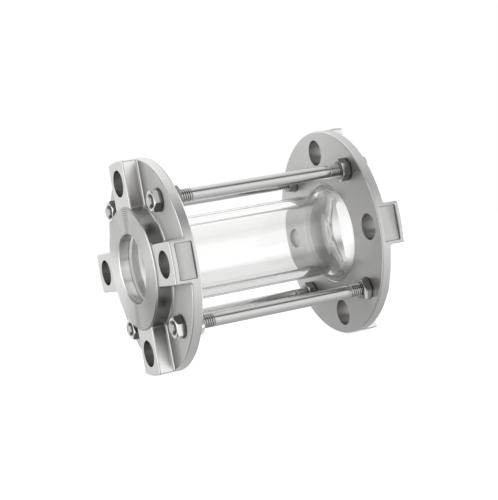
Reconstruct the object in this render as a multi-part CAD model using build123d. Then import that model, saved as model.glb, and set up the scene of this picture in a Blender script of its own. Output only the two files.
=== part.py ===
from build123d import *
from math import cos, radians, tan
import os

# Full view sight glass for a two inch pipe line. Two identical cast stainless steel flanges hold
# a glass tube with flared ends between flat gaskets. Four tie rods pass through both flange discs,
# and a nut on each side of each disc sets the distance and clamps the glass.
# X is the flow axis, with the inlet at minus X and the outlet at plus X. The origin is on that
# axis, midway between the two raised faces. Z is up. All lengths are millimetres.

# Glass tube, which is blown out to a wider collar at each end
glass_diameter = 60.0
glass_wall = 5.0
flared_diameter = 72.2
collar_length = 4.0
flare_length = 20.0
glass_edge = 0.8

# Flanges
face_to_face = 178.0
flange_diameter = 152.4
disc_thickness = 7.6
ear_height = 18.8
raised_height = 1.2
raised_edge = 1.0
bore_diameter = 50.0
seat_clearance = 0.7
seat_depth = 12.0
hub_wall = 7.2
mouth_chamfer = 0.6
casting_fillet = 1.7
corner_extra = 0.3
edge_rounding = 1.2

# Ears that carry the pipe bolts, and the pocket cored into the end of each ear
ear_count = 4
ear_width = 29.4
bolt_rim_distance = 15.875
bolt_hole = 19.05
pocket_side_wall = 2.1
pocket_face_wall = 3.3
pocket_back_wall = 2.7
pocket_depth = 2.2
pocket_corner = 0.8

# Gaskets between the glass and the flanges
gasket_thickness = 2.0
gasket_rim_gap = 0.3
gasket_bore_gap = 0.5

# Tie rods and their hexagon nuts
rod_outward_shift = 1.15
rod_diameter = 9.5
rod_hole_clearance = 1.0
rod_protrusion = 1.6
rod_end_chamfer = 1.0
nut_sides = 6
nut_across_flats = 14.3
nut_height = 6.5
nut_face_margin = 0.35
nut_chamfer_angle = 30.0
nut_bore_clearance = 0.2
nut_countersink = 0.5
nut_first_angle = 14.6
nut_step_angle = 37.8

# Sizes that follow: the seat takes the flared glass, the hub stands round the seat, and the rods
# stand near the middle of the land that the hub and the rim leave
glass_widening = (flared_diameter - glass_diameter) / 2
seat_diameter = flared_diameter + 2 * seat_clearance
hub_diameter = seat_diameter + 2 * hub_wall
bolt_circle = flange_diameter - 2 * bolt_rim_distance
rod_circle = (hub_diameter + flange_diameter) / 2 + 2 * rod_outward_shift
flange_height = ear_height + raised_height

# Levels along the flow axis, measured outward from the middle of the sight glass
disc_level = face_to_face / 2 - flange_height
web_level = disc_level + disc_thickness
seat_level = disc_level + seat_depth
glass_level = seat_level - gasket_thickness
rod_level = web_level + nut_height + rod_protrusion

# Two points closer than this are the same point
match_distance = 0.001


def facing(side):
    """Plane across the flow axis through the origin, facing the inlet (-1) or the outlet (+1)."""
    return Plane(origin=(0, 0, 0), x_dir=(0, -1, 0), z_dir=(side, 0, 0))


def ear_angles():
    """Directions of the ears round the flow axis."""
    return [360.0 / ear_count * index for index in range(ear_count)]


def rod_centres():
    """Centres of the tie rods across the flow axis, each halfway between two ears."""
    first = Vector(rod_circle / 2, 0, 0).rotate(Axis.Z, -180.0 / ear_count)
    return [first.rotate(Axis.Z, angle) for angle in ear_angles()]


def off_axis(edge):
    """Distance of an edge's middle from the flow axis of an unplaced flange."""
    middle = edge @ 0.5
    return Vector(middle.X, middle.Y, 0).length


def edges_on(body, level):
    """Edges whose middle lies at one level of an unplaced flange."""
    return body.edges().filter_by(lambda edge: abs((edge @ 0.5).Z - level) < match_distance)


def ear_plan():
    """Hub with its ears as seen along the flow axis, with rounded inner corners."""
    bar_length = flange_diameter / 2 + ear_height
    bar = Rectangle(bar_length, ear_width, align=(Align.MIN, Align.CENTER))
    plan = Circle(hub_diameter / 2)
    for angle in ear_angles():
        plan += Rot(0, 0, angle) * bar
    corners = plan.vertices().filter_by(
        lambda corner: abs(Vector(corner.X, corner.Y, 0).length - hub_diameter / 2) < match_distance
    )
    return fillet(corners, casting_fillet + corner_extra)


def raw_casting():
    """Disc, hub and ears with every foot, inner corner and outer edge rounded."""
    blank_reach = flange_diameter / 2 + ear_height
    blank = RegularPolygon(blank_reach, ear_count, major_radius=False, rotation=180.0 / ear_count)
    body = extrude(blank, disc_thickness) + extrude(ear_plan(), ear_height)
    feet = edges_on(body, disc_thickness).filter_by(lambda edge: off_axis(edge) < flange_diameter / 2)
    body = fillet(feet, casting_fillet)
    tops = edges_on(body, ear_height).filter_by(lambda edge: off_axis(edge) < flange_diameter / 2)
    body = fillet(tops, edge_rounding)
    body = body & extrude(Circle(flange_diameter / 2), ear_height)
    rim = edges_on(body, disc_thickness).filter_by(
        lambda edge: off_axis(edge) > flange_diameter / 2 - edge_rounding
    )
    return fillet(rim + edges_on(body, 0), edge_rounding)


def raised_face():
    """Sealing face that stands proud of the ears, on the same diameter as the hub."""
    boss = extrude(Circle(hub_diameter / 2), raised_height + edge_rounding)
    boss = chamfer(boss.edges().sort_by(Axis.Z)[-1], raised_edge)
    return Pos(0, 0, ear_height - edge_rounding) * boss


def turned(*points):
    """Solid turned about Z from a closed outline of radius and height pairs."""
    return revolve(Plane.XZ * make_face(Polyline(*points, close=True)), Axis.Z)


def waterway():
    """Turned opening of one flange: the glass seat from inside and the bore from outside."""
    bore = bore_diameter / 2
    seat = seat_diameter / 2
    return turned(
        (0, 0),
        (seat + mouth_chamfer, 0),
        (seat, mouth_chamfer),
        (seat, seat_depth),
        (bore, seat_depth),
        (bore, flange_height - mouth_chamfer),
        (bore + mouth_chamfer, flange_height),
        (0, flange_height),
    )


def pocket():
    """Shallow rectangular pocket in the end of an ear, open to the rim."""
    height = ear_height - pocket_face_wall - pocket_back_wall
    width = ear_width - 2 * pocket_side_wall
    core = Box(pocket_depth + ear_height, width, height, align=(Align.MIN, Align.CENTER, Align.MIN))
    core = fillet(core.edges().filter_by(Axis.X), pocket_corner)
    return Pos(flange_diameter / 2 - pocket_depth, 0, pocket_back_wall) * core


def flange():
    """One cast flange with the back of its disc on the XY plane and its raised face up."""
    body = raw_casting() + raised_face() - waterway()
    drill = extrude(Circle(bolt_hole / 2), flange_height)
    for angle in ear_angles():
        body -= Rot(0, 0, angle) * Pos(bolt_circle / 2, 0, 0) * drill
        body -= Rot(0, 0, angle) * pocket()
    rod_hole = extrude(Circle((rod_diameter + rod_hole_clearance) / 2), disc_thickness)
    for centre in rod_centres():
        body -= Pos(centre) * rod_hole
    return body


def flared_line(radius):
    """Wall line of half the glass, from the middle of the tube at this radius to the collar's end."""
    collar_start = glass_level - collar_length
    flare_start = collar_start - flare_length
    halfway = (flare_start + flare_length / 2, radius + glass_widening / 2)
    body = Line((0, radius), (flare_start, radius))
    first = TangentArc(body @ 1, halfway, tangent=body % 1)
    second = TangentArc(halfway, (collar_start, radius + glass_widening), tangent=first % 1)
    collar = Line(second @ 1, (glass_level, radius + glass_widening))
    return body + first + second + collar


def glass_tube():
    """Straight clear tube that widens in an S-curve to a short collar at each end."""
    outer_radius = glass_diameter / 2
    inner_radius = outer_radius - glass_wall
    inner_end = (glass_level, inner_radius + glass_widening)
    outer_end = (glass_level, outer_radius + glass_widening)
    end = Line(inner_end, outer_end)
    middle = Line((0, inner_radius), (0, outer_radius))
    section = make_face(flared_line(outer_radius) + flared_line(inner_radius) + end + middle)
    corners = section.vertices().sort_by(Axis.X)[-2:]
    half = revolve(fillet(corners, glass_edge), Axis.X)
    return half + mirror(half, about=Plane.YZ)


def gasket():
    """Flat ring between the end of the glass and the floor of its seat."""
    ring = Circle(seat_diameter / 2 - gasket_rim_gap) - Circle(bore_diameter / 2 + gasket_bore_gap)
    return Pos(0, 0, glass_level) * extrude(ring, gasket_thickness)


def tie_rod():
    """Stud through both discs with chamfered ends, its thread as wide as its plain middle."""
    rod = extrude(Circle(rod_diameter / 2), rod_level, both=True)
    return chamfer(rod.edges().filter_by(GeomType.CIRCLE), rod_end_chamfer)


def nut():
    """Hexagon nut on the XY plane with chamfered corners and a countersunk bore on both faces."""
    hexagon = RegularPolygon(nut_across_flats / 2, nut_sides, major_radius=False)
    prism = extrude(hexagon, nut_height)
    face = nut_across_flats / 2 - nut_face_margin
    beyond_corners = nut_across_flats / 2 / cos(radians(180.0 / nut_sides)) + nut_face_margin
    slope = (beyond_corners - face) * tan(radians(nut_chamfer_angle))
    barrel = turned(
        (0, 0),
        (face, 0),
        (beyond_corners, slope),
        (beyond_corners, nut_height - slope),
        (face, nut_height),
        (0, nut_height),
    )
    bore = (rod_diameter + nut_bore_clearance) / 2
    hole = turned(
        (0, 0),
        (bore + nut_countersink, 0),
        (bore, nut_countersink),
        (bore, nut_height - nut_countersink),
        (bore + nut_countersink, nut_height),
        (0, nut_height),
    )
    return (prism & barrel) - hole


def save(name, solid):
    export_step(solid, f"parts/{name}.step")


os.makedirs("parts", exist_ok=True)

for side_name, side in (("inlet", -1), ("outlet", 1)):
    save(f"{side_name}_flange", facing(side) * Pos(0, 0, disc_level) * flange())
    save(f"{side_name}_gasket", facing(side) * gasket())

save("glass_tube", glass_tube())

# Rods are numbered round the flow axis. Each carries four nuts, two on each disc, and each nut
# has stopped at its own turn.
nut_levels = (
    ("inlet_outer", -web_level - nut_height),
    ("inlet_inner", -disc_level),
    ("outlet_inner", disc_level - nut_height),
    ("outlet_outer", web_level),
)
angle = nut_first_angle
for number, centre in enumerate(rod_centres(), 1):
    rod_place = facing(1) * Pos(centre)
    save(f"tie_rod_{number}", rod_place * tie_rod())
    for place_name, level in nut_levels:
        save(f"{place_name}_nut_{number}", rod_place * Pos(0, 0, level) * Rot(0, 0, angle) * nut())
        angle += nut_step_angle
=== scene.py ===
import math

import bpy
import numpy as np
from mathutils import Matrix, Vector


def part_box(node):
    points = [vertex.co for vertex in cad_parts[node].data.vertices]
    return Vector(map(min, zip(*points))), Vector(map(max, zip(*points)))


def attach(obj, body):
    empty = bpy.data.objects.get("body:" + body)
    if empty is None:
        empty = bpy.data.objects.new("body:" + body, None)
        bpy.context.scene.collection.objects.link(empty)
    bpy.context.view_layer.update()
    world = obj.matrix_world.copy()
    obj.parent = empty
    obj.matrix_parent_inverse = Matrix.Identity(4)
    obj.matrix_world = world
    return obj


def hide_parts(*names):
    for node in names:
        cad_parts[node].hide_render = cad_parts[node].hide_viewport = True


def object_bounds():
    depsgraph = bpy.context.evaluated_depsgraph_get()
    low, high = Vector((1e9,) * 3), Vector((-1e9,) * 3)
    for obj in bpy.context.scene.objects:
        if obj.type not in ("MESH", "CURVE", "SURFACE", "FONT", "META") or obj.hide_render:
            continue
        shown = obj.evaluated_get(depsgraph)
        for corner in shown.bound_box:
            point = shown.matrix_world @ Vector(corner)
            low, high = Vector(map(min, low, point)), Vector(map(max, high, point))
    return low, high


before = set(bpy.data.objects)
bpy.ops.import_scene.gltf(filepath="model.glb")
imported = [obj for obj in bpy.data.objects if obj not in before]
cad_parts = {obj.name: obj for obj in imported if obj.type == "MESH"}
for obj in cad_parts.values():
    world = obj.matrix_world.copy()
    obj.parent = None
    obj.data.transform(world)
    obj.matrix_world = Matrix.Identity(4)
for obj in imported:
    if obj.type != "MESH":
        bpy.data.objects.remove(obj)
solid_box = [list(corner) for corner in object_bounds()]


# Flanges. Two identical castings in stainless steel, blasted to an even satin grey. The sealing
# face, the bore, the glass seat, the rim and the inner face of the disc are turned on a lathe and
# carry its tool lines. The tie rods and their nuts hold the pair together.

# Levels from the middle of the sight glass, and distances from its axis, in millimetres
ear_face_level = 87.3
raised_face_level = 88.2
boss_edge_level = 87.95
inner_face_level = 69.2
seat_floor_level = 81.1
web_level = 76.8
web_top = 77.0
web_bottom = 76.0
bore_edge = 25.7
seat_edge = 37.5
hub_edge = 43.6
flank_edge = 75.65
rim_edge = 75.95
bolt_hole_offset = 60.325
bolt_hole_edge = 9.8
pocket_floor = 73.8
pocket_half_width = 12.6
pocket_back_level = 71.7
pocket_face_level = 84.5
pocket_slack = 0.05
rod_low, rod_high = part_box("tie_rod_4")
rod_offset = (rod_low.y + rod_high.y) / 2 * 1000

# Colours
cast_grey = (0.86, 0.856, 0.847, 1)
cast_dark = (0.75, 0.746, 0.738, 1)
worn_and_highlight_grey = (0.88, 0.876, 0.868, 1)
painted_light_grey = (0.99, 0.988, 0.98, 1)
# Painted shade on the hub wall, darker below the axis than above it
upper_hub_shade_grey = (0.50, 0.496, 0.488, 1)
lower_hub_shade_grey = (0.30, 0.298, 0.292, 1)
flank_grey = (0.88, 0.876, 0.868, 1)
pocket_grey = (0.66, 0.656, 0.648, 1)
drilled_grey = (0.50, 0.496, 0.488, 1)
bored_grey = (0.76, 0.756, 0.747, 1)
painted_shade_grey = (0.22, 0.218, 0.213, 1)
shaded_grey = (0.38, 0.377, 0.37, 1)
turned_grey = (0.71, 0.706, 0.698, 1)
turned_dark = (0.60, 0.597, 0.590, 1)
faced_grey = (0.48, 0.477, 0.471, 1)
faced_top_lit_grey = (0.72, 0.716, 0.708, 1)
faced_side_lit_grey = (0.67, 0.666, 0.658, 1)

# Roughness of each finish
cast_roughness = 0.72
flank_roughness = 0.31
turned_roughness = 0.29
faced_roughness = 0.40
inlet_rim_roughness = 0.36
outlet_rim_roughness = 0.50
worn_roughness = 0.30
rear_hole_roughness = 0.60
pocket_roughness = 0.45
seat_roughness = 0.60
inlet_bore_roughness = 0.20
outlet_bore_roughness = 0.36

# Tool lines and grain: distance between lines in millimetres, and shares of the relief
groove_pitch = 1.45
facing_pitch = 0.55
turning_pitch = 0.42
groove_relief = 2.0
facing_relief = 0.06
turning_relief = 0.10
cast_relief = 0.45
turned_relief = 0.05
line_contrast = 0.25

# Directions across the axis, as their parts up and to the rear
low_and_front = (-0.87, -0.50)
front_and_low = (-0.50, -0.87)
rear_and_low = (-0.40, 0.92)
streak_lean = (0.15, 1.0)

# Share of its normal along the axis from which a surface counts as a face
face_from = 0.6

# Where tones begin and end. A tone grows from the first value of a pair to the second, and a third
# value is its strength where it is full
side_to_round = (0.10, 0.32)
round_to_face = (0.90, 0.985)
crease_reach = 0.9
pocket_side = (pocket_floor + 0.2, pocket_floor + 0.8)
lip_shade = (4.5, 0.0, 0.38)
lip_slope = 0.14
lip_middle = 1.7
nut_shadow_reach = (8.9, 7.8)
boss_top_shade = (0.75, 1.0, 0.65)
boss_foot_shade = (0.35, 0.95, 0.95)
boss_sheen = (0.65, 0.97)
boss_wear = 0.6
groove_tone = 0.45
groove_tone_in_sheen = 0.4
streak_middle = 0.018
streak_reach = (0.20, 0.05)
ear_side_shade = (29.0, 16.0, 0.90)
lower_ear_shift = 5.5
flank_start = 45.6
upper_flank_end = 74.0
lower_flank_end = 66.0
hub_turn = (0.50, 0.68)
faced_top = (0.25, 1.0)
faced_rear = (0.55, 0.85)
faced_front = (0.92, 1.0)
rim_wear = 0.5
bore_top_shade = (0.85, 0.35)
bore_end_line = (82.1, 81.4, 0.75)
rear_from = 0.8
rear_hole_painted_light = (71.0, 73.5, 0.85)


def add_node(tree, kind, inputs=None, **options):
    """Add a shader node, set its options, then fill or join its inputs."""
    node = tree.nodes.new(kind)
    for name, value in options.items():
        setattr(node, name, value)
    for key, value in (inputs or {}).items():
        if isinstance(value, bpy.types.NodeSocket):
            tree.links.new(value, node.inputs[key])
        else:
            node.inputs[key].default_value = value
    return node


def calc(tree, operation, *values):
    """Result of one Math node on sockets and numbers."""
    return add_node(tree, "ShaderNodeMath", dict(enumerate(values)), operation=operation).outputs[0]


def product(tree, first, *others):
    """Product of sockets and numbers. For masks, where all of them hold."""
    for value in others:
        first = calc(tree, "MULTIPLY", first, value)
    return first


def largest(tree, first, *others):
    """Largest of sockets and numbers. For masks, where any of them holds."""
    for value in others:
        first = calc(tree, "MAXIMUM", first, value)
    return first


def outside(tree, share):
    """What a share leaves of one. For masks, where it doesn't hold."""
    return calc(tree, "SUBTRACT", 1.0, share)


def ramp(tree, value, start, end, full=1.0, smooth=False):
    """Share that goes from 0 to full as the value goes from start to end."""
    inputs = {"Value": value, "From Min": start, "From Max": end, "To Max": full}
    style = "SMOOTHSTEP" if smooth else "LINEAR"
    return add_node(tree, "ShaderNodeMapRange", inputs, interpolation_type=style).outputs[0]


def scaled(tree, share, low, high):
    """Number that runs from low to high as the share runs from 0 to 1."""
    inputs = {"Value": share, "To Min": low, "To Max": high}
    return add_node(tree, "ShaderNodeMapRange", inputs).outputs[0]


def mixed(tree, share, first, second):
    """Number that goes from the first to the second as the share goes from 0 to 1."""
    return add_node(tree, "ShaderNodeMix", {0: share, 2: first, 3: second}).outputs[0]


def between(tree, share, first, second):
    """Colour that goes from the first to the second as the share goes from 0 to 1."""
    inputs = {0: share, 6: first, 7: second}
    return add_node(tree, "ShaderNodeMix", inputs, data_type="RGBA").outputs[2]


def vector(tree, operation, first, second=(0, 0, 0)):
    """Result of one Vector Math node that gives a vector."""
    return add_node(tree, "ShaderNodeVectorMath", {0: first, 1: second}, operation=operation).outputs[0]


def enlarged(tree, first, factor):
    """A vector times a number."""
    inputs = {0: first, "Scale": factor}
    return add_node(tree, "ShaderNodeVectorMath", inputs, operation="SCALE").outputs[0]


def length(tree, first):
    """Length of a vector."""
    return add_node(tree, "ShaderNodeVectorMath", {0: first}, operation="LENGTH").outputs["Value"]


def parts(tree, first):
    """The three parts of a vector."""
    return add_node(tree, "ShaderNodeSeparateXYZ", {0: first}).outputs


def joined(tree, first, second, third):
    """Vector of three numbers."""
    return add_node(tree, "ShaderNodeCombineXYZ", {0: first, 1: second, 2: third}).outputs[0]


def new_group(name, takes, gives):
    """Node group whose inputs take the given start values, with its input and output sockets."""
    tree = bpy.data.node_groups.new(name, "ShaderNodeTree")
    for title, start in takes.items():
        kind = "NodeSocketVector" if title == "Place" else "NodeSocketFloat"
        tree.interface.new_socket(title, in_out="INPUT", socket_type=kind).default_value = start
    for title in gives:
        kind = "NodeSocketVector" if title == "Place" else "NodeSocketFloat"
        tree.interface.new_socket(title, in_out="OUTPUT", socket_type=kind)
    return tree, tree.nodes.new("NodeGroupInput").outputs, tree.nodes.new("NodeGroupOutput").inputs


def use_group(tree, group, inputs=None):
    """Outputs of a node group placed in a material."""
    return add_node(tree, "ShaderNodeGroup", inputs, node_tree=group).outputs


def new_material(name):
    """Empty Principled material, with its node tree and its shader."""
    material = bpy.data.materials.new(name)
    material.use_nodes = True
    return material, material.node_tree, material.node_tree.nodes["Principled BSDF"]


def add_relief(tree, shader, height, distance, strength):
    """Let a height in shares of a distance in metres tilt the surface."""
    inputs = {"Height": height, "Distance": distance, "Strength": strength}
    relief = add_node(tree, "ShaderNodeBump", inputs)
    tree.links.new(relief.outputs[0], shader.inputs["Normal"])


def paint(piece, material):
    """Give a whole piece one material."""
    piece.data.materials.clear()
    piece.data.materials.append(material)


def toward(tree, up, rear, direction):
    """How far a spot lies in one direction across the axis, from -1 to 1."""
    up_part, rear_part = direction
    return calc(tree, "ADD", calc(tree, "MULTIPLY", up, up_part), calc(tree, "MULTIPLY", rear, rear_part))


# Where a spot is on the sight glass, in millimetres: its level along the axis from the middle, its
# radius from the axis, how squarely it faces along the axis, and its distance from the nearest rod
part_place, _, gives = new_group(
    "Place on the sight glass", {}, ["Place", "Level", "Radius", "Facing", "From rod"]
)
spot = add_node(part_place, "ShaderNodeTexCoord").outputs
millimetres = enlarged(part_place, spot["Object"], 1000.0)
axes = parts(part_place, millimetres)
folded = vector(part_place, "ABSOLUTE", millimetres)
past_rod = vector(part_place, "SUBTRACT", folded, (0, rod_offset, rod_offset))
across_rod = vector(part_place, "MULTIPLY", past_rod, (0, 1, 1))
tilt = parts(part_place, spot["Normal"])[0]
part_place.links.new(millimetres, gives["Place"])
part_place.links.new(calc(part_place, "ABSOLUTE", axes[0]), gives["Level"])
part_place.links.new(length(part_place, joined(part_place, 0.0, axes[1], axes[2])), gives["Radius"])
part_place.links.new(calc(part_place, "ABSOLUTE", tilt), gives["Facing"])
part_place.links.new(length(part_place, across_rod), gives["From rod"])

# Fine grain with broad clouds in its tone, each given by its size in millimetres
fine_share = 0.35
broad_share = 0.65

grain, takes, gives = new_group(
    "Blasted grain", {"Place": (0, 0, 0), "Grain": 0.5, "Cloud": 18.0}, ["Height", "Tone"]
)
fine = add_node(
    grain,
    "ShaderNodeTexNoise",
    {"Vector": takes["Place"], "Scale": calc(grain, "DIVIDE", 1.0, takes["Grain"]), "Detail": 3.0},
).outputs[0]
broad = add_node(
    grain,
    "ShaderNodeTexNoise",
    {"Vector": takes["Place"], "Scale": calc(grain, "DIVIDE", 1.0, takes["Cloud"]), "Detail": 4.0},
).outputs[0]
tone = calc(grain, "MULTIPLY_ADD", fine, fine_share, calc(grain, "MULTIPLY", broad, broad_share))
grain.links.new(fine, gives["Height"])
grain.links.new(tone, gives["Tone"])

# Even lines left by a lathe tool, with an uneven tone from line to line
chatter_scale = 0.7

tool_lines, takes, gives = new_group("Tool lines", {"Across": 0.0, "Pitch": 1.0}, ["Height", "Tone"])
turns = calc(tool_lines, "DIVIDE", takes["Across"], takes["Pitch"])
wave = calc(tool_lines, "SINE", calc(tool_lines, "MULTIPLY", turns, 2 * math.pi))
chatter = add_node(
    tool_lines,
    "ShaderNodeTexNoise",
    {"W": turns, "Scale": chatter_scale, "Detail": 2.0},
    noise_dimensions="1D",
).outputs[0]
tool_lines.links.new(calc(tool_lines, "MULTIPLY_ADD", wave, 0.5, 0.5), gives["Height"])
tool_lines.links.new(chatter, gives["Tone"])

flange_steel, tree, shader = new_material("Cast and turned stainless steel")
here = use_group(tree, part_place)
level = here["Level"]
radius = here["Radius"]
place = parts(tree, here["Place"])
sides_of = parts(tree, vector(tree, "ABSOLUTE", here["Place"]))
far_side = calc(tree, "MAXIMUM", sides_of[1], sides_of[2])
near_side = calc(tree, "MINIMUM", sides_of[1], sides_of[2])
up = calc(tree, "DIVIDE", place[2], radius)
rear = calc(tree, "DIVIDE", place[1], radius)
at_outlet = calc(tree, "GREATER_THAN", place[0], 0.0)
under_axis = calc(tree, "LESS_THAN", up, 0.0)

# Masks of the surfaces of the casting
facing = calc(tree, "GREATER_THAN", here["Facing"], face_from)
upright = outside(tree, facing)
raised = product(tree, facing, calc(tree, "GREATER_THAN", level, raised_face_level))
ears_and_boss = product(tree, facing, calc(tree, "GREATER_THAN", level, ear_face_level))
ear_face = calc(tree, "SUBTRACT", ears_and_boss, raised)
inner_face = product(tree, facing, calc(tree, "LESS_THAN", level, inner_face_level))
bore = product(tree, upright, calc(tree, "LESS_THAN", radius, bore_edge))
rim = product(tree, upright, calc(tree, "GREATER_THAN", radius, rim_edge))
in_seat = calc(tree, "LESS_THAN", radius, seat_edge)
seat = product(tree, in_seat, calc(tree, "LESS_THAN", level, seat_floor_level))
seat_wall = product(tree, seat, upright)
faced = largest(tree, inner_face, product(tree, seat, facing))
from_hole = length(tree, joined(tree, calc(tree, "SUBTRACT", far_side, bolt_hole_offset), near_side, 0.0))
hole = product(tree, upright, calc(tree, "LESS_THAN", from_hole, bolt_hole_edge))
sides = largest(tree, bore, hole, rim, seat_wall)
turned = largest(tree, raised, ear_face, faced, sides)
web = product(
    tree,
    facing,
    calc(tree, "LESS_THAN", level, web_top),
    calc(tree, "GREATER_THAN", level, web_bottom),
)

# Pockets in the ears, with painted shade in their corners and under their outer lip
to_pocket_side = calc(tree, "SUBTRACT", pocket_half_width, near_side)
to_back_wall = calc(tree, "SUBTRACT", level, pocket_back_level)
to_face_wall = calc(tree, "SUBTRACT", pocket_face_level, level)
to_corner = calc(tree, "MINIMUM", to_pocket_side, calc(tree, "MINIMUM", to_back_wall, to_face_wall))
in_pocket = calc(tree, "GREATER_THAN", to_corner, -pocket_slack)
pocket = product(tree, calc(tree, "GREATER_THAN", far_side, pocket_floor), in_pocket)
pocket_wall = ramp(tree, far_side, *pocket_side)
to_lip = calc(tree, "SUBTRACT", to_face_wall, scaled(tree, at_outlet, crease_reach, 0.0))
crease = ramp(tree, calc(tree, "MINIMUM", to_corner, to_lip), crease_reach, 0.0, smooth=True)
lip_reach = product(tree, at_outlet, calc(tree, "MULTIPLY_ADD", place[2], lip_slope, lip_middle))
under_lip = ramp(tree, calc(tree, "SUBTRACT", to_lip, lip_reach), *lip_shade)
crease = product(tree, largest(tree, crease, under_lip), outside(tree, pocket_wall), pocket)

# Walls of the hub and flanks of the ears, and the rounded edges between surfaces
within_rim = calc(tree, "LESS_THAN", radius, flank_edge)
beyond_hub = calc(tree, "GREATER_THAN", radius, hub_edge)
over_web = calc(tree, "GREATER_THAN", level, web_level)
wall = product(tree, upright, over_web, within_rim, beyond_hub, outside(tree, pocket))
past_side = ramp(tree, here["Facing"], *side_to_round)
on_face = ramp(tree, here["Facing"], *round_to_face)
under_boss = calc(tree, "LESS_THAN", level, boss_edge_level)
rounded = product(tree, past_side, outside(tree, on_face), under_boss, outside(tree, pocket))

# Relief
blasted = use_group(tree, grain, {"Place": here["Place"], "Grain": 0.55, "Cloud": 16.0})
grooves = use_group(tree, tool_lines, {"Across": radius, "Pitch": groove_pitch})
facing_lines = use_group(tree, tool_lines, {"Across": radius, "Pitch": facing_pitch})
side_lines = use_group(tree, tool_lines, {"Across": level, "Pitch": turning_pitch})
height = product(tree, blasted["Height"], scaled(tree, turned, cast_relief, turned_relief))
for lines, surface, share in (
    (side_lines, sides, turning_relief),
    (facing_lines, faced, facing_relief),
    (grooves, raised, groove_relief),
):
    height = calc(tree, "MULTIPLY_ADD", lines["Height"], calc(tree, "MULTIPLY", surface, share), height)
add_relief(tree, shader, height, distance=0.00012, strength=0.8)

# Colour of the blasted skin, the hub wall and the flanks. Painted shade darkens the hub wall, most
# below the axis, and the flanks towards the hub
flank_end = scaled(tree, under_axis, upper_flank_end, lower_flank_end)
hub_shade_colour = between(tree, ramp(tree, up, *hub_turn), lower_hub_shade_grey, upper_hub_shade_grey)
wall_colour = between(tree, ramp(tree, radius, flank_start, flank_end), hub_shade_colour, flank_grey)
cast_colour = between(tree, wall, between(tree, blasted["Tone"], cast_dark, cast_grey), wall_colour)

# Colour of the turned surfaces. Painted light makes the inner disc face lighter at its top, its rear
# and its lower front
uneven = calc(tree, "MULTIPLY", calc(tree, "SUBTRACT", facing_lines["Tone"], 0.5), line_contrast)
line_tone = calc(tree, "MULTIPLY_ADD", largest(tree, sides, raised), uneven, blasted["Tone"])
faced_colour = between(tree, ramp(tree, rear, *faced_rear), faced_grey, faced_side_lit_grey)
faced_colour = between(tree, ramp(tree, up, *faced_top), faced_colour, faced_top_lit_grey)
low_front = ramp(tree, toward(tree, up, rear, front_and_low), *faced_front)
faced_colour = between(tree, low_front, faced_colour, faced_side_lit_grey)
turned_colour = between(tree, faced, between(tree, line_tone, turned_dark, turned_grey), faced_colour)
turned_colour = between(tree, scaled(tree, raised, 0.0, boss_wear), turned_colour, worn_and_highlight_grey)
# Painted highlight: a painted sheen lightens the lower rear of the raised face
painted_sheen = product(tree, ramp(tree, toward(tree, up, rear, rear_and_low), *boss_sheen), raised)
turned_colour = between(tree, painted_sheen, turned_colour, painted_light_grey)
colour = between(tree, turned, cast_colour, turned_colour)

# Shade on the raised face, in its grooves and beside the ears
top_shade = ramp(tree, up, *boss_top_shade)
foot_shade = ramp(tree, toward(tree, up, rear, low_and_front), *boss_foot_shade)
groove_shade = calc(tree, "MULTIPLY", grooves["Height"], groove_tone)
groove_shade = product(tree, groove_shade, scaled(tree, painted_sheen, 1.0, groove_tone_in_sheen))
boss_shade = product(tree, raised, largest(tree, top_shade, foot_shade, groove_shade))
to_ear = calc(tree, "SUBTRACT", sides_of[1], calc(tree, "MULTIPLY", under_axis, lower_ear_shift))
beside_ear = product(tree, ramp(tree, to_ear, *ear_side_shade), web)
colour = between(tree, largest(tree, boss_shade, beside_ear), colour, shaded_grey)

# Colours of the holes, pockets, rounded edges, seat and bore. Painted light makes the pocket walls, the
# seat wall, the bore of the outlet and the rear bolt hole of the outlet pale, and the rounded edges are
# lighter partly from wear and partly as painted highlight
rear_hole = product(
    tree,
    at_outlet,
    calc(tree, "GREATER_THAN", rear, rear_from),
    ramp(tree, level, *rear_hole_painted_light),
)
bore_colour = between(tree, ramp(tree, up, *bore_top_shade), shaded_grey, bored_grey)
# Painted light makes the rear bolt hole of the outlet pale, and the pocket walls pale
colour = between(tree, hole, colour, between(tree, rear_hole, drilled_grey, painted_light_grey))
colour = between(tree, pocket, colour, between(tree, pocket_wall, pocket_grey, painted_light_grey))
colour = between(tree, scaled(tree, rim, 0.0, rim_wear), colour, worn_and_highlight_grey)
# Rounded edges are lighter, partly from wear and partly as a painted highlight
colour = between(tree, rounded, colour, worn_and_highlight_grey)
# Painted light on the seat wall and on the bore of the outlet
colour = between(tree, seat_wall, colour, painted_light_grey)
colour = between(tree, bore, colour, between(tree, at_outlet, bore_colour, painted_light_grey))

# Painted shade: a dark streak across the grooves, a dark ring at the bore's end, dark pocket corners
# and a painted shadow round the nuts
off_streak = calc(tree, "SUBTRACT", toward(tree, up, rear, streak_lean), streak_middle)
streak = ramp(tree, calc(tree, "ABSOLUTE", off_streak), *streak_reach, smooth=True)
streak = product(tree, streak, grooves["Height"], raised)
bore_end = product(tree, bore, ramp(tree, level, *bore_end_line))
nut_ring = product(tree, ramp(tree, here["From rod"], *nut_shadow_reach), calc(tree, "LESS_THAN", level, web_top))
painted_dark_share = largest(tree, streak, bore_end, crease, nut_ring)
tree.links.new(between(tree, painted_dark_share, colour, painted_shade_grey), shader.inputs["Base Color"])

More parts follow.
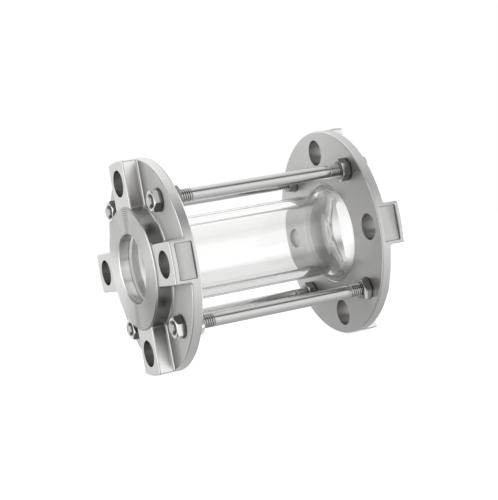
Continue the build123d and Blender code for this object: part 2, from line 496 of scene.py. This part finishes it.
# Roughness of each surface
cast_finish = scaled(tree, wall, cast_roughness, flank_roughness)
roughness = mixed(tree, turned, cast_finish, scaled(tree, faced, turned_roughness, faced_roughness))
for surface, finish in (
    (rim, scaled(tree, at_outlet, inlet_rim_roughness, outlet_rim_roughness)),
    (rounded, worn_roughness),
    (product(tree, rear_hole, hole), rear_hole_roughness),
    (pocket, pocket_roughness),
    (seat_wall, seat_roughness),
    (bore, scaled(tree, at_outlet, inlet_bore_roughness, outlet_bore_roughness)),
):
    roughness = mixed(tree, surface, roughness, finish)
tree.links.new(roughness, shader.inputs["Roughness"])
shader.inputs["Metallic"].default_value = 1.0

for side in ("inlet", "outlet"):
    paint(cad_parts[f"{side}_flange"], flange_steel)


# Glass tube. Clear borosilicate, drawn straight and blown out to a wider collar at each end. Its
# collars are ground where they stand in the seats, between two gaskets that the tie rods squeeze.

# Each pair is a height over the axis in millimetres and the light that the glass lets through there.
# The darker bands are painted shade in the glass's tint
shade_bands_by_height = (
    (-30.0, 0.70), (-24.8, 0.73), (-23.8, 0.825), (-11.0, 0.85), (-9.0, 0.995), (8.6, 0.995),
    (10.2, 0.955), (21.0, 0.958), (22.5, 0.995),
)
shade_band_warmth = (1.0, 1.0, 0.992)
shade_band_span = 80.0
ground_collar = (66.0, 71.0, 0.34)
smear_roughness = 0.008


def fill_ramp(tree, share, colours):
    """Colour that changes along pairs of a share and a colour."""
    node = add_node(tree, "ShaderNodeValToRGB", {0: share})
    stops = node.color_ramp.elements
    while len(stops) < len(colours):
        stops.new(0.5)
    for stop, (position, colour) in zip(stops, colours):
        stop.position = position
        stop.color = colour
    return node.outputs[0]


clear_glass, tree, shader = new_material("Clear borosilicate glass")
here = use_group(tree, part_place)
smears = use_group(tree, grain, {"Place": here["Place"], "Grain": 9.0, "Cloud": 40.0})
ground = ramp(tree, here["Level"], *ground_collar, smooth=True)
finish = calc(tree, "ADD", ground, scaled(tree, smears["Tone"], 0.0, smear_roughness))
tree.links.new(finish, shader.inputs["Roughness"])
add_relief(tree, shader, smears["Tone"], distance=0.00002, strength=0.3)
# Painted shade: the tint darkens in bands by height across the tube
lift = calc(tree, "MULTIPLY_ADD", parts(tree, here["Place"])[2], 1 / shade_band_span, 0.5)
shade_band_stops = [
    (height / shade_band_span + 0.5, (*(light * warmth for warmth in shade_band_warmth), 1))
    for height, light in shade_bands_by_height
]
tree.links.new(fill_ramp(tree, lift, shade_band_stops), shader.inputs["Base Color"])
shader.inputs["Transmission Weight"].default_value = 1.0
shader.inputs["IOR"].default_value = 1.473

paint(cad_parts["glass_tube"], clear_glass)


# Gaskets. A flat ring of pale filled sheet is cut for each seat. It lies on the seat floor, and the
# end of the glass presses on it. A faint glow stands for the light that comes through the sheet.
gasket_light = (0.93, 0.93, 0.91, 1)
gasket_dark = (0.84, 0.84, 0.82, 1)
gasket_roughness = (0.50, 0.70)
gasket_glow = 0.12

gasket_sheet, tree, shader = new_material("Pale gasket sheet")
here = use_group(tree, part_place)
fibres = use_group(tree, grain, {"Place": here["Place"], "Grain": 0.25, "Cloud": 3.0})
tree.links.new(between(tree, fibres["Tone"], gasket_dark, gasket_light), shader.inputs["Base Color"])
tree.links.new(scaled(tree, fibres["Height"], *gasket_roughness), shader.inputs["Roughness"])
shader.inputs["Emission Color"].default_value = gasket_light
shader.inputs["Emission Strength"].default_value = gasket_glow
add_relief(tree, shader, fibres["Height"], distance=0.00005, strength=0.6)

for side in ("inlet", "outlet"):
    paint(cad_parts[f"{side}_gasket"], gasket_sheet)


# Tie rods. Four studs of drawn stainless bar with a rolled right-hand thread at each end and a
# plain bright middle. Each passes through both discs and is held by four nuts.
thread_pitch = 1.5875
thread_depth = 0.75
thread_start = 53.6
thread_fade = 1.2
crest_half = 0.20
flank_share = 0.18
end_chamfer = 1.0
plain_tip = 1.7
middle_rings = 14
steps_per_turn = 14
rod_sides = 56
sharp_degrees = 40
end_face_depth = 0.75
rod_dark = (0.60, 0.596, 0.588, 1)
rod_light = (0.70, 0.695, 0.685, 1)
painted_root_shade_grey = (0.22, 0.218, 0.213, 1)
root_to_crest = (4.05, 4.6)
end_face_tone = 0.55
rod_roughness = (0.12, 0.26)
drawn_out = (0.03, 1.0, 1.0)


def threaded_rod(name, low, high):
    """Stud of the given box, with a helical thread cut in from both ends."""
    reach = high.x * 1000
    crest = (high.z - low.z) / 2 * 1000
    thread = np.arange(thread_start, reach, thread_pitch / steps_per_turn)
    half = np.concatenate([np.linspace(0, thread_start, middle_rings)[:-1], thread, [reach]])
    stations = np.concatenate([-half[::-1], half[1:]])
    angles = np.arange(rod_sides) * 2 * math.pi / rod_sides
    x, angle = np.meshgrid(stations, angles, indexing="ij")
    from_crest = np.abs((x / thread_pitch - angle / (2 * math.pi) + 0.5) % 1.0 - 0.5)
    cut = np.clip((from_crest - crest_half) / flank_share, 0, 1)
    run_in = np.clip((np.abs(x) - thread_start) / thread_fade, 0, 1)
    run_out = np.clip((reach - plain_tip - np.abs(x)) / thread_fade, 0, 1)
    depth = thread_depth * np.minimum(run_in, run_out)
    bevel = crest - end_chamfer + (reach - np.abs(x))
    surface_radius = np.minimum(crest - cut * depth, bevel)
    y = (low.y + high.y) / 2 * 1000 + surface_radius * np.cos(angle)
    z = (low.z + high.z) / 2 * 1000 + surface_radius * np.sin(angle)
    corners = np.stack([x, y, z], axis=2).reshape(-1, 3) / 1000
    faces = []
    for ring in range(len(stations) - 1):
        for side in range(rod_sides):
            corner = ring * rod_sides + side
            beside = ring * rod_sides + (side + 1) % rod_sides
            faces.append((corner, corner + rod_sides, beside + rod_sides, beside))
    last = (len(stations) - 1) * rod_sides
    faces.append(tuple(range(rod_sides)))
    faces.append(tuple(reversed(range(last, last + rod_sides))))
    mesh = bpy.data.meshes.new(name)
    mesh.from_pydata(corners.tolist(), [], faces)
    mesh.shade_smooth()
    mesh.set_sharp_from_angle(angle=math.radians(sharp_degrees))
    rod = bpy.data.objects.new(name, mesh)
    bpy.context.scene.collection.objects.link(rod)
    return rod


drawn_steel, tree, shader = new_material("Drawn stainless bar")
here = use_group(tree, part_place)
stretched = vector(tree, "MULTIPLY", here["Place"], drawn_out)
draw_marks = use_group(tree, grain, {"Place": stretched, "Grain": 0.35, "Cloud": 3.0})
rod_end = rod_high.x * 1000
# Painted shade darkens the thread roots and the neck below the end, and partly the end face
end_face = calc(tree, "GREATER_THAN", here["Level"], rod_end - end_face_depth)
neck = calc(tree, "GREATER_THAN", here["Level"], rod_end - plain_tip)
bright = product(tree, ramp(tree, here["From rod"], *root_to_crest), outside(tree, neck))
bright = largest(tree, bright, scaled(tree, end_face, 0.0, end_face_tone))
bar_colour = between(tree, draw_marks["Tone"], rod_dark, rod_light)
tree.links.new(between(tree, bright, painted_root_shade_grey, bar_colour), shader.inputs["Base Color"])
tree.links.new(scaled(tree, draw_marks["Height"], *rod_roughness), shader.inputs["Roughness"])
add_relief(tree, shader, draw_marks["Height"], distance=0.00004, strength=0.5)
shader.inputs["Metallic"].default_value = 1.0

for number in range(1, 5):
    rod = threaded_rod(f"threaded_rod_{number}", *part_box(f"tie_rod_{number}"))
    paint(rod, drawn_steel)
    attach(rod, "root")
    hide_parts(f"tie_rod_{number}")


# Nuts. Sixteen hexagon nuts in bright stainless steel, turned from hexagon bar with both faces
# chamfered. Two clamp each disc on each rod, and each has stopped at its own angle.
nut_dark = (0.60, 0.596, 0.59, 1)
nut_light = (0.80, 0.795, 0.788, 1)
nut_flat = (0.97, 0.965, 0.956, 1)
nut_shade = (0.16, 0.159, 0.155, 1)
shaded_inner_nut_dark = (0.20, 0.199, 0.195, 1)
shaded_inner_nut_light = (0.42, 0.417, 0.41, 1)
shaded_inner_nut_edge = (0.50, 0.497, 0.49, 1)
nut_roughness = (0.14, 0.30)
disc_back_level = 69.0
nut_side_until = 0.3
nut_chamfer_until = 0.95
nut_line_pitch = 0.35
nut_line_contrast = 0.4
nut_line_relief = 0.35
pitting_relief = 0.3
shelter = (0.55, 0.35)
nut_foot = (79.4, 78.6)
nut_foot_shade = 0.85
lower_half = (-rod_offset - 0.5, -rod_offset - 2.5)

bright_steel, tree, shader = new_material("Bright turned nut steel")
here = use_group(tree, part_place)
place = parts(tree, here["Place"])
end_face = calc(tree, "GREATER_THAN", here["Facing"], nut_side_until)
on_flats = outside(tree, end_face)
on_chamfer = product(tree, end_face, calc(tree, "LESS_THAN", here["Facing"], nut_chamfer_until))
inner = calc(tree, "LESS_THAN", here["Level"], disc_back_level)
face_lines = use_group(tree, tool_lines, {"Across": here["From rod"], "Pitch": nut_line_pitch})
pitting = use_group(tree, grain, {"Place": here["Place"], "Grain": 0.4, "Cloud": 5.0})
uneven = calc(tree, "MULTIPLY", calc(tree, "SUBTRACT", face_lines["Tone"], 0.5), nut_line_contrast)
nut_tone = calc(tree, "MULTIPLY_ADD", end_face, uneven, pitting["Tone"])

# Outer nuts are bright, with painted shade on the flats that turn to the hub and at the foot where
# they meet the casting
quarter = vector(tree, "SIGN", here["Place"])
normal = add_node(tree, "ShaderNodeTexCoord").outputs["Normal"]
outward_sides = parts(tree, vector(tree, "MULTIPLY", quarter, normal))
outward = calc(tree, "MULTIPLY", calc(tree, "ADD", outward_sides[1], outward_sides[2]), math.sqrt(0.5))
foot = scaled(tree, ramp(tree, here["Level"], *nut_foot), 0.0, nut_foot_shade)
shaded_flats = product(tree, largest(tree, ramp(tree, outward, *shelter), foot), on_flats)
outer_colour = between(tree, on_flats, between(tree, nut_tone, nut_dark, nut_light), nut_flat)
outer_colour = between(tree, shaded_flats, outer_colour, nut_shade)

# Inner nuts are painted dark as shade between the discs, apart from the underside of the two in front,
# where painted light stands for the light of the pale floor
in_front = calc(tree, "LESS_THAN", place[1], 0.0)
lit_below = product(tree, ramp(tree, place[2], *lower_half), in_front, on_flats)
inner_colour = between(tree, nut_tone, shaded_inner_nut_dark, shaded_inner_nut_light)
inner_colour = between(tree, on_chamfer, inner_colour, shaded_inner_nut_edge)
inner_colour = between(tree, lit_below, inner_colour, nut_flat)
tree.links.new(between(tree, inner, outer_colour, inner_colour), shader.inputs["Base Color"])
tree.links.new(scaled(tree, pitting["Tone"], *nut_roughness), shader.inputs["Roughness"])
face_relief = calc(tree, "MULTIPLY", end_face, nut_line_relief)
pits = calc(tree, "MULTIPLY", pitting["Height"], pitting_relief)
height = calc(tree, "MULTIPLY_ADD", face_lines["Height"], face_relief, pits)
add_relief(tree, shader, height, distance=0.00006, strength=0.6)
shader.inputs["Metallic"].default_value = 1.0

for number in range(1, 5):
    for stand in ("inlet_outer", "inlet_inner", "outlet_inner", "outlet_outer"):
        paint(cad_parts[f"{stand}_nut_{number}"], bright_steel)


# Floor. A wide sheet of plain white card that the flange rims stand on. It is lit until it is
# nearly white, and the polished metal mirrors the studio and not the card.
floor_reach = 3.0
floor_level = solid_box[0][2]
card_grey = (0.40, 0.40, 0.40, 1)
card_glow = 0.86

floor_mesh = bpy.data.meshes.new("floor")
floor_mesh.from_pydata(
    [
        (-floor_reach, -floor_reach, floor_level),
        (floor_reach, -floor_reach, floor_level),
        (floor_reach, floor_reach, floor_level),
        (-floor_reach, floor_reach, floor_level),
    ],
    [],
    [(0, 1, 2, 3)],
)
floor = bpy.data.objects.new("floor", floor_mesh)
bpy.context.scene.collection.objects.link(floor)
card, tree, shader = new_material("White card")
shader.inputs["Base Color"].default_value = card_grey
shader.inputs["Roughness"].default_value = 0.9
shader.inputs["Specular IOR Level"].default_value = 0.1
shader.inputs["Emission Color"].default_value = (1, 1, 1, 1)
shader.inputs["Emission Strength"].default_value = card_glow
paint(floor, card)
floor.visible_glossy = False
floor.visible_shadow = False


# Studio. Long soft boxes lie along the flow axis, one in front and one above and behind, with a
# dark slot between them. The camera's end of the room is dim, and a white wall stands behind.

# Each pair is an angle round the flow axis, 0 in front and 90 above, and the light from there
front_to_back = (
    (-180, 0.85), (-172, 0.60), (-130, 0.56), (-95, 0.56), (-70, 0.64), (-45, 0.80), (-22, 1.02),
    (0, 1.16), (14, 1.12), (26, 0.92), (34, 0.40), (39, 0.08), (46, 0.08), (53, 0.34), (64, 0.66),
    (80, 0.92), (100, 1.14), (130, 1.14), (180, 1.06),
)
dim_end = (
    (-180, 1.10), (-160, 0.85), (-140, 0.52), (-124, 0.26), (-100, 0.36), (-68, 0.22), (-45, 0.36),
    (0, 0.34), (45, 0.34), (60, 0.22), (80, 0.60), (96, 0.80), (112, 0.60), (130, 0.36), (150, 0.80),
    (165, 1.08), (180, 1.16),
)

# Parts of a direction along the axis, to the rear or up, where one light gives way to the next
dim_to_bright = (-0.30, 0.05)
box_ends = (0.42, 0.56, 0.60)
front_to_rear = (-0.20, 0.20)
front_box_ends = 0.42
end_panels = (0.78, 0.90, 1.25)
end_panels_start = (-0.50, -0.20)
floor_to_wall = (-0.50, -0.30)
floor_seen_through_glass = 0.45
flag_place = 0.30
flag_edge = (0.055, 0.075)
flag_light = 0.25
ramp_brightest = 2.0

studio = bpy.data.worlds.new("Studio")
studio.use_nodes = True
tree = studio.node_tree
tree.nodes.clear()
along, rearward, upward = parts(tree, add_node(tree, "ShaderNodeTexCoord").outputs["Generated"])
round_axis = calc(tree, "ARCTAN2", upward, calc(tree, "MULTIPLY", rearward, -1.0))
turn = calc(tree, "MULTIPLY_ADD", round_axis, 0.5 / math.pi, 0.5)


def light_by_angle(tree, turn, lights):
    """Grey that follows lights given by their angle round the flow axis, as a share of the brightest."""
    greys = [(degrees / 360 + 0.5, (*[light / ramp_brightest] * 3, 1)) for degrees, light in lights]
    return fill_ramp(tree, turn, greys)


bright_boxes = light_by_angle(tree, turn, front_to_back)
dim_boxes = light_by_angle(tree, turn, dim_end)
boxes = between(tree, ramp(tree, along, *dim_to_bright, smooth=True), dim_boxes, bright_boxes)
sideways = calc(tree, "ABSOLUTE", along)
fall = ramp(tree, sideways, *box_ends, smooth=True)
rear_boxes = ramp(tree, rearward, *front_to_rear, smooth=True)
fall = product(tree, fall, scaled(tree, rear_boxes, front_box_ends, 1.0))
room = enlarged(tree, boxes, calc(tree, "MULTIPLY", outside(tree, fall), ramp_brightest))
end_panel = ramp(tree, sideways, *end_panels, smooth=True)
end_panel = product(tree, end_panel, ramp(tree, rearward, *end_panels_start, smooth=True))
room_light = vector(tree, "ADD", room, joined(tree, end_panel, end_panel, end_panel))
mirrored = add_node(tree, "ShaderNodeBackground", {"Color": room_light, "Strength": 1.0})

# What the camera sees is white. What shows through the glass is white too, apart from the dimmer
# floor and a dark flag that stands behind
ray = add_node(tree, "ShaderNodeLightPath").outputs
wall_share = ramp(tree, upward, *floor_to_wall, smooth=True)
through_glass = scaled(tree, wall_share, floor_seen_through_glass, 1.0)
from_flag = calc(tree, "ABSOLUTE", calc(tree, "SUBTRACT", along, flag_place))
flag = scaled(tree, ramp(tree, from_flag, *flag_edge), flag_light, 1.0)
flag = largest(tree, flag, calc(tree, "LESS_THAN", rearward, 0.0))
through_glass = calc(tree, "MINIMUM", through_glass, flag)
wall_light = largest(tree, through_glass, ray["Is Camera Ray"])
backdrop = add_node(tree, "ShaderNodeBackground", {"Color": (1, 1, 1, 1), "Strength": wall_light})
seen = largest(tree, ray["Is Camera Ray"], ray["Is Transmission Ray"])
both = add_node(tree, "ShaderNodeMixShader", {0: seen, 1: mirrored.outputs[0], 2: backdrop.outputs[0]})
add_node(tree, "ShaderNodeOutputWorld", {0: both.outputs[0]})
bpy.context.scene.world = studio
bpy.context.scene.view_settings.view_transform = "Standard"


# Camera. It stands in front of the inlet end at the height of the flow axis, rolled so that the
# sight glass climbs to the right.
camera_place = Vector((-0.41639, -0.92130, 0.01252))
camera_right = Vector((0.89517, -0.40927, -0.17655))
camera_down = Vector((-0.16648, 0.06043, -0.98419))
camera_view = Vector((0.41347, 0.91041, -0.01404))

lens = bpy.data.cameras.new("camera")
lens.lens = 100.35
lens.sensor_width = 36.0
lens.clip_start = 0.01
camera = bpy.data.objects.new("camera", lens)
turned_axes = Matrix((camera_right, -camera_down, -camera_view)).transposed().to_4x4()
camera.matrix_world = Matrix.Translation(camera_place) @ turned_axes
bpy.context.scene.collection.objects.link(camera)
bpy.context.scene.camera = camera
